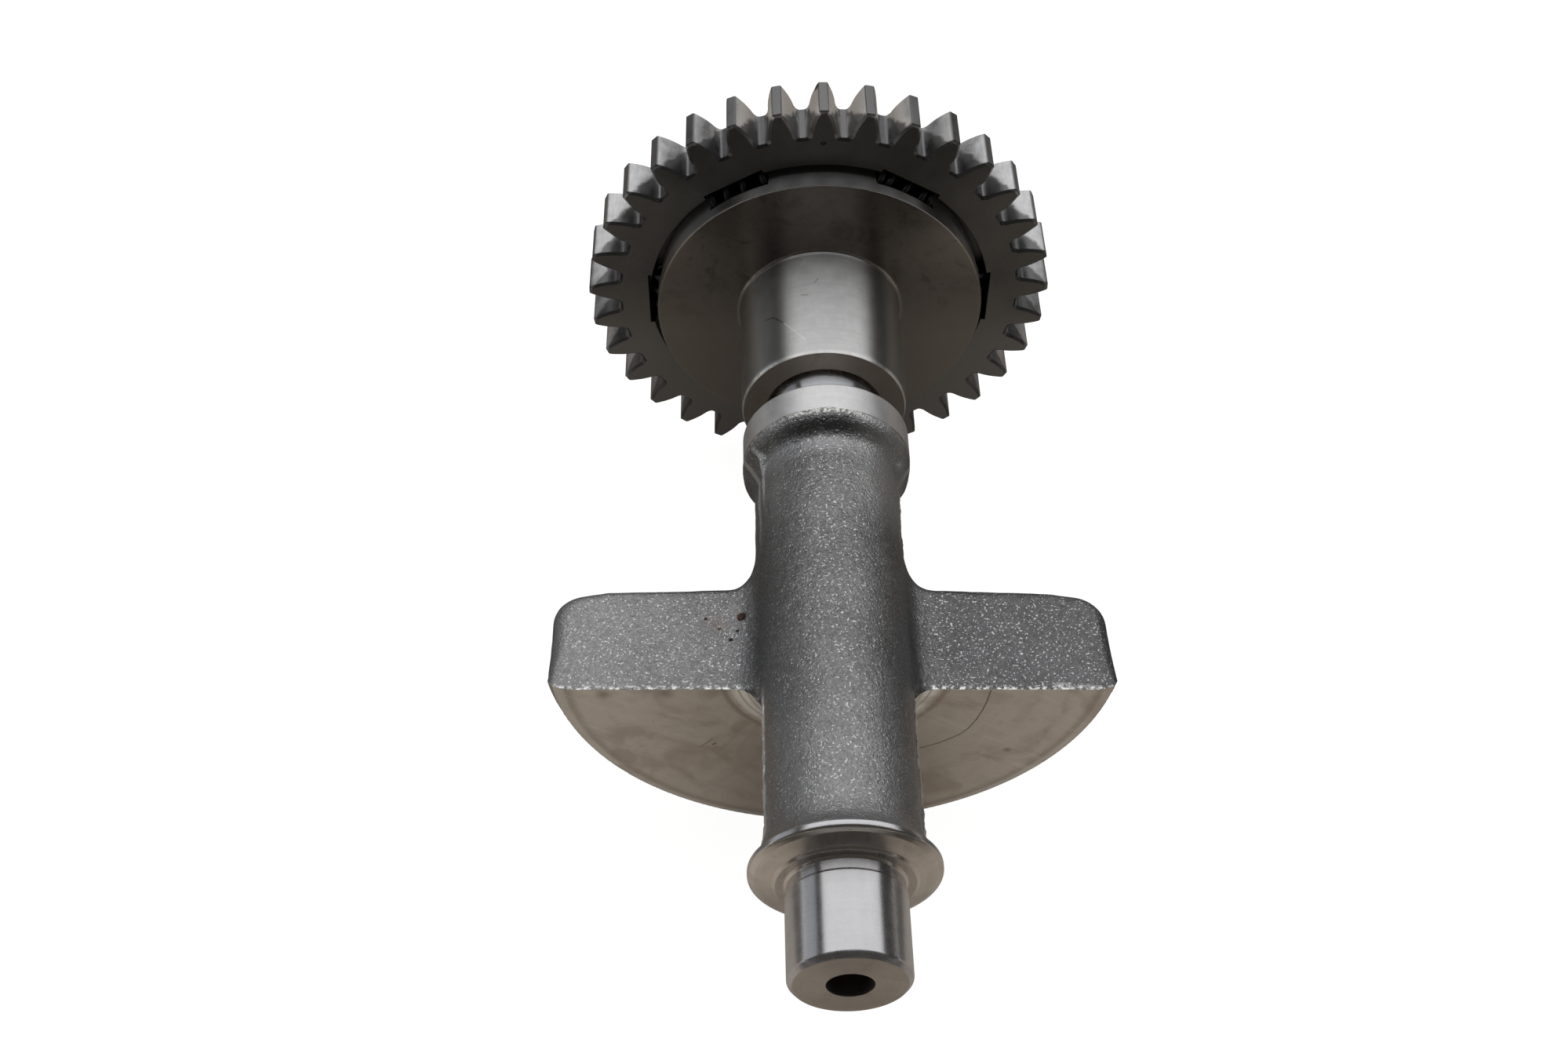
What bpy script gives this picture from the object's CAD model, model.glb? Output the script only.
import math

import bpy
import bmesh
import numpy as np
from mathutils import Matrix, Vector


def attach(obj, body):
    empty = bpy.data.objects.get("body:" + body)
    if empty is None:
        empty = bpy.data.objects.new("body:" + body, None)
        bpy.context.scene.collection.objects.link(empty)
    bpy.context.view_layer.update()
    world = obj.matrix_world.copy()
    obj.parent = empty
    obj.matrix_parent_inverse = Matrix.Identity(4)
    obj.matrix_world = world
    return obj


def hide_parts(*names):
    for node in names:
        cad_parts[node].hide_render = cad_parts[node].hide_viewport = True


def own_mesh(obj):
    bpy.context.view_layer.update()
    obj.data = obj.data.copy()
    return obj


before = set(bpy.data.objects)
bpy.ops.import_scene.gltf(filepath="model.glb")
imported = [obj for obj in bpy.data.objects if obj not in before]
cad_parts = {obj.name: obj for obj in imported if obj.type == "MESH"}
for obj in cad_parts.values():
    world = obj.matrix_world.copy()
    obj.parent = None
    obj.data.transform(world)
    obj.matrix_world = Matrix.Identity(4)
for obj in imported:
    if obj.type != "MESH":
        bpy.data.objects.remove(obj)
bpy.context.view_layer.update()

SC = bpy.context.scene
FRONT = 8.0  # mm from the free end face to the origin; s below is mm from that face


# ---------------------------------------------------------------- meshes
def row(p):
    """Points in mm (x, s, z) as metres in the row frame."""
    q = np.array(p, float).reshape(-1, 3)
    q[:, 1] -= FRONT
    return q / 1000.0


def link(ob):
    SC.collection.objects.link(ob)
    return ob


def outward(me):
    bm = bmesh.new()
    bm.from_mesh(me)
    bmesh.ops.recalc_face_normals(bm, faces=bm.faces[:])
    bm.to_mesh(me)
    bm.free()


def mesh_from(name, p, faces, mats, index=None, sharp=38.0, fix=True):
    me = bpy.data.meshes.new(name)
    me.from_pydata(row(p).tolist(), [], faces)
    for m in mats:
        me.materials.append(m)
    if index is not None:
        me.polygons.foreach_set("material_index", np.asarray(index, np.int32))
    if fix:
        outward(me)
    smooth(me, sharp)
    return link(bpy.data.objects.new(name, me))


def smooth(me, sharp):
    me.shade_smooth()
    me.set_sharp_from_angle(angle=math.radians(sharp))
    me.update()


def rounded(pts, n=5):
    """Profile rows (r, s, corner radius, material of the strip that follows) with their corners rounded, as rows (r, s, material)."""
    out = []
    for i, (r, s, rad, m) in enumerate(pts):
        if rad <= 0 or i in (0, len(pts) - 1):
            out.append((r, s, m))
            continue
        p = np.array([r, s])
        a = np.array(pts[i - 1][:2]) - p
        b = np.array(pts[i + 1][:2]) - p
        la, lb = np.linalg.norm(a), np.linalg.norm(b)
        a, b = a / la, b / lb
        half = math.acos(max(-1.0, min(1.0, float(a @ b)))) / 2
        if half > 1.55:
            out.append((r, s, m))
            continue
        d = min(rad / math.tan(half), 0.47 * la, 0.47 * lb)
        rr = d * math.tan(half)
        mid = (a + b) / np.linalg.norm(a + b)
        c = p + mid * (rr / math.sin(half))
        v0, v1 = p + a * d - c, p + b * d - c
        turn = math.acos(max(-1.0, min(1.0, float(v0 @ v1) / (rr * rr))))
        sign = 1.0 if v0[0] * v1[1] - v0[1] * v1[0] > 0 else -1.0
        # rows close to the rounding keep the shading of the straight parts straight
        hold = d + 0.2
        if hold < 0.48 * la:
            q = p + a * hold
            out.append((float(q[0]), float(q[1]), pts[i - 1][3]))
        for k in range(n + 1):
            t = sign * turn * k / n
            q = c + np.array([v0[0] * math.cos(t) - v0[1] * math.sin(t), v0[0] * math.sin(t) + v0[1] * math.cos(t)])
            out.append((float(q[0]), float(q[1]), m if k >= n / 2 else pts[i - 1][3]))
        if hold < 0.48 * lb:
            q = p + b * hold
            out.append((float(q[0]), float(q[1]), m))
    return out


def lathe(profile, n):
    """Vertices, faces and materials of a turned shape; rows of profile are (r, s, material of the strip that follows)."""
    ang = np.arange(n) * (2 * math.pi / n)
    sn, cs = np.sin(ang), np.cos(ang)
    verts, rings = [], []
    for r, s, _ in profile:
        if r < 1e-6:
            rings.append([len(verts)])
            verts.append((0.0, s, 0.0))
        else:
            rings.append(list(range(len(verts), len(verts) + n)))
            verts += list(zip(r * sn, [s] * n, r * cs))
    faces, mats = [], []
    for i in range(len(profile) - 1):
        a, b = rings[i], rings[i + 1]
        if len(a) == 1 and len(b) == 1:
            continue
        for k in range(n):
            k2 = (k + 1) % n
            if len(a) == 1:
                faces.append((a[0], b[k2], b[k]))
            elif len(b) == 1:
                faces.append((a[k], a[k2], b[0]))
            else:
                faces.append((a[k], a[k2], b[k2], b[k]))
            mats.append(profile[i][2])
    return verts, faces, mats


def joined(*shells):
    verts, faces, mats = [], [], []
    for v, f, m in shells:
        k = len(verts)
        verts += [tuple(x) for x in v]
        faces += [tuple(i + k for i in q) for q in f]
        mats += list(m)
    return verts, faces, mats


def cut(ob, tool, sharp=38.0, kind="DIFFERENCE"):
    """ob minus tool, or joined to it; the tool is used up."""
    mod = ob.modifiers.new("cut", "BOOLEAN")
    mod.operation, mod.object, mod.solver = kind, tool, "MANIFOLD"
    bpy.context.view_layer.update()
    old = ob.data
    me = bpy.data.meshes.new_from_object(ob.evaluated_get(bpy.context.evaluated_depsgraph_get()))
    ob.modifiers.clear()
    ob.data = me
    me.name = ob.name
    bpy.data.meshes.remove(old)
    gone = tool.data
    bpy.data.objects.remove(tool)
    bpy.data.meshes.remove(gone)
    smooth(me, sharp)


def box_shell(angle, t, r0, r1, s0, s1, mat):
    """A box across a pocket: half width t along the tangent, from r0 to r1 outward, from s0 to s1."""
    a = math.radians(angle)
    out, tan = np.array([math.sin(a), 0, math.cos(a)]), np.array([math.cos(a), 0, -math.sin(a)])
    v = []
    for s in (s0, s1):
        for r in (r0, r1):
            for q in (-t, t):
                v.append(tuple(out * r + tan * q + np.array([0, s, 0])))
    f = [(0, 1, 3, 2), (4, 6, 7, 5), (0, 4, 5, 1), (2, 3, 7, 6), (0, 2, 6, 4), (1, 5, 7, 3)]
    return v, f, [mat] * 6


# ---------------------------------------------------------------- noise and fields
def lattice(ix, iy, iz, seed):
    h = (ix.astype(np.uint32) * np.uint32(374761393) + iy.astype(np.uint32) * np.uint32(668265263)
         + iz.astype(np.uint32) * np.uint32(2246822519) + np.uint32((seed * 3266489917) & 0xFFFFFFFF))
    h = (h ^ (h >> np.uint32(15))) * np.uint32(2246822519)
    h = (h ^ (h >> np.uint32(13))) * np.uint32(3266489917)
    h = h ^ (h >> np.uint32(16))
    return (h & np.uint32(0xFFFFFF)).astype(np.float64) / float(0x7FFFFF) - 1.0


def noise3(p, size, seed):
    """Smooth noise from -1 to 1 with features of about size mm."""
    q = p / size + 1000.0
    i = np.floor(q).astype(np.int64)
    f = q - i
    u = f * f * (3 - 2 * f)
    got = 0.0
    for a in (0, 1):
        wx = u[:, 0] if a else 1 - u[:, 0]
        for b in (0, 1):
            wy = u[:, 1] if b else 1 - u[:, 1]
            for c in (0, 1):
                wz = u[:, 2] if c else 1 - u[:, 2]
                got = got + wx * wy * wz * lattice(i[:, 0] + a, i[:, 1] + b, i[:, 2] + c, seed)
    return got


def outline_table(poly, r1, s0, s1, step):
    """Signed distance to a closed outline in (r, s), negative inside, on a grid."""
    rr, ss = np.arange(0, r1 + step, step), np.arange(s0, s1 + step, step)
    r, s = np.meshgrid(rr, ss, indexing="ij")
    best = np.full(r.shape, 1e9)
    inside = np.zeros(r.shape, bool)
    pts = np.array(poly, float)
    for a, b in zip(pts, np.roll(pts, -1, 0)):
        e = b - a
        wr, ws = r - a[0], s - a[1]
        t = np.clip((wr * e[0] + ws * e[1]) / max(e @ e, 1e-12), 0, 1)
        best = np.minimum(best, (wr - t * e[0]) ** 2 + (ws - t * e[1]) ** 2)
        if a[1] != b[1]:
            hit = (a[1] > s) != (b[1] > s)
            inside ^= hit & (r < a[0] + (s - a[1]) / (b[1] - a[1]) * e[0])
    return np.where(inside, -1, 1) * np.sqrt(best), s0, step


def look(table, r, s):
    t, s0, step = table
    a, b = np.clip(r / step, 0, t.shape[0] - 1.001), np.clip((s - s0) / step, 0, t.shape[1] - 1.001)
    i, j = a.astype(np.int64), b.astype(np.int64)
    u, v = a - i, b - j
    return t[i, j] * (1 - u) * (1 - v) + t[i + 1, j] * u * (1 - v) + t[i, j + 1] * (1 - u) * v + t[i + 1, j + 1] * u * v


def arc(cr, cs, rad, a0, a1, n):
    return [(cr + rad * math.cos(math.radians(a0 + (a1 - a0) * k / n)), cs + rad * math.sin(math.radians(a0 + (a1 - a0) * k / n)))
            for k in range(n + 1)]


def step01(x, a, b):
    t = np.clip((x - a) / (b - a), 0, 1)
    return t * t * (3 - 2 * t)


# ---------------------------------------------------------------- materials
class Mat:
    def __init__(self, name):
        self.m = bpy.data.materials.new(name)
        self.m.use_nodes = True
        self.t = self.m.node_tree
        self.t.nodes.clear()
        out = self.t.nodes.new("ShaderNodeOutputMaterial")
        self.b = self.t.nodes.new("ShaderNodeBsdfPrincipled")
        self.t.links.new(self.b.outputs[0], out.inputs[0])
        tc = self.t.nodes.new("ShaderNodeTexCoord")
        sc = self.t.nodes.new("ShaderNodeVectorMath")
        sc.operation = "SCALE"
        sc.inputs["Scale"].default_value = 1000.0
        self.t.links.new(tc.outputs["Object"], sc.inputs[0])
        self.p = sc.outputs[0]
        sep = self.t.nodes.new("ShaderNodeSeparateXYZ")
        self.t.links.new(self.p, sep.inputs[0])
        self.x, self.y, self.z = sep.outputs
        self._r = None

    def put(self, sock, v):
        if isinstance(v, bpy.types.NodeSocket):
            self.t.links.new(v, sock)
        else:
            sock.default_value = v

    def math(self, op, a, b=None, c=None, clamp=False):
        n = self.t.nodes.new("ShaderNodeMath")
        n.operation, n.use_clamp = op, clamp
        for i, v in enumerate((a, b, c)):
            if v is not None:
                self.put(n.inputs[i], v)
        return n.outputs[0]

    def radius(self):
        if self._r is None:
            self._r = self.math("SQRT", self.math("ADD", self.math("MULTIPLY", self.x, self.x), self.math("MULTIPLY", self.z, self.z)))
        return self._r

    def noise(self, scale, detail=2.0, rough=0.5, vec=None, distortion=0.0, color=False):
        n = self.t.nodes.new("ShaderNodeTexNoise")
        self.put(n.inputs["Vector"], self.p if vec is None else vec)
        n.inputs["Scale"].default_value = scale
        n.inputs["Detail"].default_value = detail
        n.inputs["Roughness"].default_value = rough
        n.inputs["Distortion"].default_value = distortion
        return n.outputs[1 if color else 0]

    def noise1(self, w, scale, detail=2.0, rough=0.5):
        n = self.t.nodes.new("ShaderNodeTexNoise")
        n.noise_dimensions = "1D"
        self.put(n.inputs["W"], w)
        n.inputs["Scale"].default_value = scale
        n.inputs["Detail"].default_value = detail
        n.inputs["Roughness"].default_value = rough
        return n.outputs[0]

    def cells(self, scale, rnd=1.0, vec=None):
        n = self.t.nodes.new("ShaderNodeTexVoronoi")
        self.put(n.inputs["Vector"], self.p if vec is None else vec)
        n.inputs["Scale"].default_value = scale
        n.inputs["Randomness"].default_value = rnd
        return n.outputs["Distance"], n.outputs["Color"]

    def span(self, v, a, b, c=0.0, d=1.0, smooth=False):
        n = self.t.nodes.new("ShaderNodeMapRange")
        n.interpolation_type = "SMOOTHSTEP" if smooth else "LINEAR"
        self.put(n.inputs[0], v)
        for i, k in enumerate((a, b, c, d)):
            n.inputs[i + 1].default_value = k
        return n.outputs[0]

    def ramp(self, v, stops):
        n = self.t.nodes.new("ShaderNodeValToRGB")
        self.put(n.inputs[0], v)
        e = n.color_ramp.elements
        while len(e) < len(stops):
            e.new(0.5)
        for k, (pos, col) in zip(e, stops):
            k.position, k.color = pos, (*col, 1.0)
        return n.outputs[0]

    def mix(self, f, a, b, kind="MIX"):
        n = self.t.nodes.new("ShaderNodeMix")
        n.data_type, n.blend_type = "RGBA", kind
        self.put(n.inputs[0], f)
        for s, v in ((n.inputs[6], a), (n.inputs[7], b)):
            self.put(s, v if isinstance(v, bpy.types.NodeSocket) else (*v, 1.0))
        return n.outputs[2]

    def vmath(self, op, a, b=None, scale=None):
        n = self.t.nodes.new("ShaderNodeVectorMath")
        n.operation = op
        self.put(n.inputs[0], a)
        if b is not None:
            self.put(n.inputs[1], b)
        if scale is not None:
            self.put(n.inputs["Scale"], scale)
        return n.outputs["Value"] if op in ("DISTANCE", "DOT_PRODUCT", "LENGTH") else n.outputs[0]

    def vec(self, x, y, z):
        n = self.t.nodes.new("ShaderNodeCombineXYZ")
        for s, v in zip(n.inputs, (x, y, z)):
            self.put(s, v)
        return n.outputs[0]

    def near(self, point, rad, soft):
        """1 at a point on the object (mm, row frame), 0 further than rad away."""
        d = self.vmath("DISTANCE", self.p, Vector(point))
        return self.span(d, rad, rad - soft, 0.0, 1.0, smooth=True)

    def stroke(self, a, b, rad, soft):
        """1 on the line from a to b (mm, row frame), 0 further than rad away."""
        a, b = Vector(a), Vector(b)
        ab = b - a
        ap = self.vmath("SUBTRACT", self.p, a)
        t = self.math("MULTIPLY", self.vmath("DOT_PRODUCT", ap, ab), 1.0 / ab.length_squared, clamp=True)
        away = self.vmath("LENGTH", self.vmath("SUBTRACT", ap, self.vmath("SCALE", self.vec(*ab), scale=t)))
        return self.span(away, rad, rad - soft, 0.0, 1.0, smooth=True)

    def band(self, v, a, b, c, d):
        """1 where v is from b to c, 0 below a and above d."""
        return self.math("MULTIPLY", self.span(v, a, b, smooth=True), self.span(v, d, c, smooth=True))

    def normal(self):
        return self.t.nodes.new("ShaderNodeNewGeometry").outputs["Normal"]

    def across_rings(self):
        """Tangent across grooves that run round the axis."""
        ring = self.vec(self.z, 0.0, self.math("MULTIPLY", self.x, -1.0))
        return self.vmath("NORMALIZE", self.vmath("CROSS_PRODUCT", ring, self.normal()))

    def bump(self, height, strength, dist_mm, normal=None):
        n = self.t.nodes.new("ShaderNodeBump")
        n.inputs["Strength"].default_value = strength
        n.inputs["Distance"].default_value = dist_mm / 1000.0
        self.put(n.inputs["Height"], height)
        if normal is not None:
            self.put(n.inputs["Normal"], normal)
        return n.outputs[0]

    def set(self, **kw):
        for k, v in kw.items():
            s = self.b.inputs[k.replace("_", " ")]
            if isinstance(v, tuple) and len(v) == 3:
                v = (*v, 1.0)
            self.put(s, v)
        return self.m


def forged_steel():
    m = Mat("forged_steel")
    big = m.noise(0.08, 2.0, 0.5)
    mid = m.noise(0.5, 2.0, 0.5)
    grain = m.noise(1.7, 2.0, 0.55)
    fine = m.noise(3.4, 2.0, 0.6)
    bright = m.noise(2.3, 1.0, 0.5, vec=m.vmath("ADD", m.p, (31.0, 17.0, 53.0)))
    glint = m.span(bright, 0.61, 0.69, smooth=True)
    tone = m.math("ADD", m.math("MULTIPLY", grain, 0.45), m.math("ADD", m.math("MULTIPLY", mid, 0.25), m.math("MULTIPLY", big, 0.3)))
    col = m.ramp(tone, [(0.32, (0.14, 0.14, 0.142)), (0.5, (0.20, 0.20, 0.203)), (0.68, (0.265, 0.265, 0.27))])
    # the flat on -X is cleaner than the one on +X
    wing = m.math("MULTIPLY", m.span(m.x, -15.0, -45.0), 0.27)
    col = m.mix(wing, col, (0.50, 0.50, 0.505))
    wing = m.math("MULTIPLY", m.span(m.x, 14.0, 20.0), 0.45)
    col = m.mix(wing, col, (0.05, 0.05, 0.053))
    # sheared flash and grains along the cut edge of the flat
    along = m.math("MAXIMUM", m.span(m.y, 76.0, 90.0), m.span(m.y, 47.0, 42.0, 0.0, 1.0))
    flash = m.math("MULTIPLY", m.math("MULTIPLY", m.band(m.z, 0.8, 1.3, 2.1, 2.7), m.span(m.x, -11.0, -12.0)), along)
    flash = m.math("MAXIMUM", flash, m.math("MULTIPLY", m.math("MULTIPLY", m.band(m.z, -0.5, 0.0, 0.9, 1.4), m.span(m.x, 11.0, 12.0)), along))
    edge = m.math("MULTIPLY", m.band(m.y, 50.3, 50.6, 50.9, 51.7), m.span(m.noise(0.9, 2.0), 0.48, 0.58))
    edge = m.math("MULTIPLY", edge, m.span(m.math("ABSOLUTE", m.x), 15.0, 17.0))
    col = m.mix(m.math("MULTIPLY", m.math("MAXIMUM", flash, edge), 0.9), col, (0.90, 0.90, 0.90))
    burr = m.math("MULTIPLY", m.stroke((40.0, 51.2, -4.7), (46.6, 51.2, -5.4), 1.3, 1.1), m.span(grain, 0.42, 0.55, 0.1, 0.8))
    col = m.mix(burr, col, (0.66, 0.66, 0.66))
    # the lip above each ear, and the hammered fillet at the collar
    lip = m.math("ABSOLUTE", m.math("SUBTRACT", m.math("SUBTRACT", m.z, 4.2), m.span(m.y, 93.0, 96.5, 0.0, 2.0, smooth=True)))
    lip = m.math("MULTIPLY", m.span(lip, 0.85, 0.3, smooth=True), m.math("MULTIPLY", m.span(m.x, -11.0, -11.8), m.band(m.y, 84.0, 91.0, 98.0, 99.0)))
    lip = m.math("MAXIMUM", lip, m.near((13.5, 96.2, 3.9), 1.5, 1.2))
    col = m.mix(m.math("MULTIPLY", lip, 0.85), col, (0.95, 0.95, 0.96))
    up = m.span(m.z, 2.0, 8.0)
    col = m.mix(m.math("MULTIPLY", m.band(m.y, 95.0, 96.4, 98.2, 99.0), m.math("MULTIPLY", up, 0.36)), col, (0.06, 0.06, 0.06))
    col = m.mix(m.math("MULTIPLY", m.band(m.y, 90.5, 93.5, 94.6, 95.6), m.math("MULTIPLY", up, 0.35)), col, (0.5, 0.5, 0.51))
    crest = m.math("MULTIPLY", m.band(m.y, 98.6, 99.2, 100.3, 100.9), m.span(m.noise(1.3, 2.0), 0.44, 0.54))
    col = m.mix(m.math("MULTIPLY", crest, 0.8), col, (0.74, 0.73, 0.70))
    # brighter barrel in front of the counterweight and on its +X side behind it
    col = m.mix(m.span(m.y, 46.0, 28.0, 0.0, 0.30), col, (0.40, 0.40, 0.405))
    lit = m.math("MULTIPLY", m.band(m.x, 2.0, 8.0, 14.0, 17.0), m.span(m.y, 75.0, 84.0, 0.0, 0.8))
    lit = m.math("MAXIMUM", lit, m.math("MULTIPLY", m.span(m.x, -6.0, -10.0), m.span(m.y, 78.0, 86.0, 0.0, 0.35)))
    col = m.mix(lit, col, (0.46, 0.46, 0.465))
    col = m.mix(m.math("MULTIPLY", glint, 0.75), col, (0.60, 0.60, 0.62))
    rust = m.near((-16.36, 66.33, -4.2), 1.2, 0.4)
    col = m.mix(rust, col, m.ramp(fine, [(0.4, (0.030, 0.021, 0.018)), (0.62, (0.085, 0.055, 0.042))]))
    for q, r in (((-20.5, 64.0, -4.3), 0.55), ((-17.2, 63.3, -4.2), 0.5), ((-18.4, 61.5, -4.3), 0.58), ((-23.0, 66.2, -4.4), 0.5),
                 ((11.37, 97.6, 6.5), 0.55), ((-10.0, 89.84, 8.46), 0.5), ((-11.91, 83.63, 5.46), 0.5)):
        col = m.mix(m.near(q, r, 0.3), col, (0.03, 0.027, 0.024))
    stain = m.math("MULTIPLY", m.near((-21.0, 65.5, -4.4), 3.4, 3.0), m.span(grain, 0.45, 0.65, 0.0, 0.5))
    col = m.mix(stain, col, (0.20, 0.13, 0.09))
    height = m.math("ADD", m.math("MULTIPLY", mid, 0.5), m.math("ADD", m.math("MULTIPLY", grain, 0.6), m.math("MULTIPLY", fine, 0.3)))
    nrm = m.bump(height, 0.9, 0.28)
    rough = m.math("SUBTRACT", m.span(grain, 0.3, 0.7, 0.46, 0.36), m.math("MULTIPLY", glint, 0.14))
    return m.set(Base_Color=col, Metallic=1.0, Roughness=rough, Normal=nrm)


def front_face_marks(m, col, r):
    """What the turned face of the counterweight shows: bright fillet, tool rings, bevel, scribe line, scratches."""
    here = m.band(m.y, 40.0, 42.0, 58.0, 60.0)
    col = m.mix(m.math("MULTIPLY", here, m.math("MULTIPLY", m.band(r, 13.4, 14.6, 18.4, 19.6), 0.7)), col, (0.97, 0.98, 0.95))
    for k in (15.9, 17.6):
        col = m.mix(m.math("MULTIPLY", here, m.math("MULTIPLY", m.band(r, k - 0.35, k - 0.1, k + 0.1, k + 0.35), 0.55)), col, (0.28, 0.26, 0.23))
    col = m.mix(m.math("MULTIPLY", here, m.math("MULTIPLY", m.band(r, 19.6, 20.0, 20.4, 21.2), 0.55)), col, (0.25, 0.21, 0.17))
    col = m.mix(m.math("MULTIPLY", here, m.math("MULTIPLY", m.band(r, 46.2, 47.5, 47.8, 48.6), 0.4)), col, (0.22, 0.20, 0.17))
    col = m.mix(m.math("MULTIPLY", here, m.math("MULTIPLY", m.span(r, 48.0, 49.6), 0.25)), col, (0.70, 0.71, 0.68))
    # stains: cloudy patches and wiping streaks that cross the face
    cloud = m.noise(0.075, 3.0, 0.55, distortion=1.2, vec=m.vmath("ADD", m.p, (7.0, 0.0, 3.0)))
    wipe = m.noise(0.22, 4.0, 0.65, vec=m.vec(m.math("ADD", m.math("MULTIPLY", m.x, 0.9), m.math("MULTIPLY", m.z, 1.4)), 0.0,
                                             m.math("MULTIPLY", m.math("SUBTRACT", m.z, m.math("MULTIPLY", m.x, 0.6)), 0.12)))
    col = m.mix(m.math("MULTIPLY", here, m.span(cloud, 0.47, 0.68, 0.0, 0.5, smooth=True)), col, (0.34, 0.275, 0.22))
    col = m.mix(m.math("MULTIPLY", here, m.span(wipe, 0.52, 0.70, 0.0, 0.42, smooth=True)), col, (0.70, 0.665, 0.62))
    col = m.mix(m.math("MULTIPLY", here, m.math("MULTIPLY", m.span(m.math("ABSOLUTE", m.x), 24.0, 13.0), m.span(m.z, -14.0, -24.0, 0.0, 0.35))), col, (0.26, 0.225, 0.19))
    scribe = [(27.76, -4.6), (27.5, -7.8), (26.97, -10.83), (26.15, -13.95), (24.98, -16.86), (23.6, -18.8), (21.89, -20.28), (19.5, -21.95), (16.79, -23.32)]
    for a, b, w in [((p[0], 50.7, p[1]), (q[0], 50.7, q[1]), 0.19) for p, q in zip(scribe, scribe[1:])] + [((-23.94, 50.7, -23.0), (-21.68, 50.7, -20.28), 0.15), ((-21.56, 50.7, -22.08), (-21.16, 50.7, -21.779999999999998), 0.26)]:
        col = m.mix(m.math("MULTIPLY", m.stroke(a, b, w, 0.12), 0.75), col, (0.10, 0.085, 0.07))
    for q, k in (((-41.0, 50.7, -6.2), 2.2), ((-30.0, 50.7, -5.6), 2.6), ((40.5, 50.7, -28.6), 1.3), ((33.0, 50.7, -24.0), 1.2)):
        col = m.mix(m.math("MULTIPLY", m.near(q, k, k), 0.55), col, (0.16, 0.13, 0.10))
    return col


def turned_steel(name, base, tint, rough, line, smudge, scale=5.0, aniso=0.6, marks=None):
    """Faces and fillets cut on a lathe: fine rings about the axis, and stains."""
    m = Mat(name)
    r = m.radius()
    w = m.math("ADD", r, m.math("MULTIPLY", m.y, 1.0))
    rings = m.noise1(w, scale, 4.0, 0.7)
    broad = m.noise1(w, scale * 0.12, 3.0, 0.6)
    spots = m.noise(0.16, 4.0, 0.62, distortion=0.6)
    small = m.noise(1.1, 3.0, 0.6)
    tone = m.math("ADD", m.math("MULTIPLY", rings, 0.25), m.math("ADD", m.math("MULTIPLY", broad, 0.12), m.math("MULTIPLY", spots, 0.63)))
    dark = tuple(c * 0.78 for c in base)
    col = m.ramp(tone, [(0.3, dark), (0.5, base), (0.7, tuple(min(1.0, c * 1.15) for c in base))])
    col = m.mix(m.span(spots, 0.50, 0.74, 0.0, smudge, smooth=True), col, tint)
    col = m.mix(m.span(small, 0.62, 0.74, 0.0, smudge * 0.7, smooth=True), col, tuple(c * 0.6 for c in tint))
    if marks:
        col = marks(m, col, r)
    nrm = m.bump(m.math("ADD", rings, m.math("MULTIPLY", small, 0.15)), line, 0.02)
    ro = m.span(m.math("ADD", m.math("MULTIPLY", spots, 0.6), m.math("MULTIPLY", rings, 0.4)), 0.3, 0.7, rough * 0.85, rough * 1.2)
    return m.set(Base_Color=col, Metallic=1.0, Roughness=ro, Normal=nrm, Anisotropic=aniso, Tangent=m.across_rings())


def disc_shade(m, col, r):
    """Hub disc: darker above the sleeve, paler low down, bright upper edge."""
    top = m.math("MULTIPLY", m.span(m.z, 12.0, 20.0, smooth=True), m.span(m.math("ABSOLUTE", m.x), 16.0, 5.0, smooth=True))
    col = m.mix(m.math("MULTIPLY", top, 0.6), col, (0.07, 0.062, 0.053))
    col = m.mix(m.span(m.z, 10.0, -8.0, 0.0, 0.75, smooth=True), col, (0.49, 0.447, 0.40))
    edge = m.math("MULTIPLY", m.span(r, 33.08, 33.2), m.span(m.z, 18.0, 28.0))
    return m.mix(m.math("MULTIPLY", edge, 0.85), col, (0.98, 0.95, 0.92))


def sleeve_scratch(m, col):
    """The scratch on the sleeve, a dark rub that runs out in a pale line; dull sides and a bright front edge."""
    col = m.mix(m.span(m.math("ABSOLUTE", m.math("SUBTRACT", m.x, 0.6)), 5.5, 11.0, 0.0, 0.8, smooth=True), col, (0.16, 0.152, 0.14))
    col = m.mix(m.math("MULTIPLY", m.band(m.y, 113.9, 114.15, 114.6, 115.2), m.span(m.noise(0.8, 3.0), 0.3, 0.5, 0.5, 0.9)), col, (0.98, 0.97, 0.95))
    for a, b, w in (((-11.6, 127.6, 11.4), (-10.2, 127.1, 12.7), 0.34), ((-10.2, 127.1, 12.7), (-8.0, 124.0, 14.2), 0.32)):
        col = m.mix(m.math("MULTIPLY", m.stroke(a, b, w, 0.26), m.span(m.noise(1.6, 3.0), 0.35, 0.6, 0.2, 0.85)), col, (0.12, 0.10, 0.085))
    col = m.mix(m.math("MULTIPLY", m.stroke((-8.0, 124.0, 14.2), (-4.2, 118.0, 15.75), 0.34, 0.32), 0.45), col, (0.98, 0.98, 0.98))
    for a, b in (((-4.6, 130.5, 15.64), (-3.4, 130.2, 15.94)), ((-2.0, 133.5, 16.18), (-1.2, 134.6, 16.26))):
        col = m.mix(m.math("MULTIPLY", m.stroke(a, b, 0.22, 0.2), 0.5), col, (0.2, 0.18, 0.17))
    return col


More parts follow.
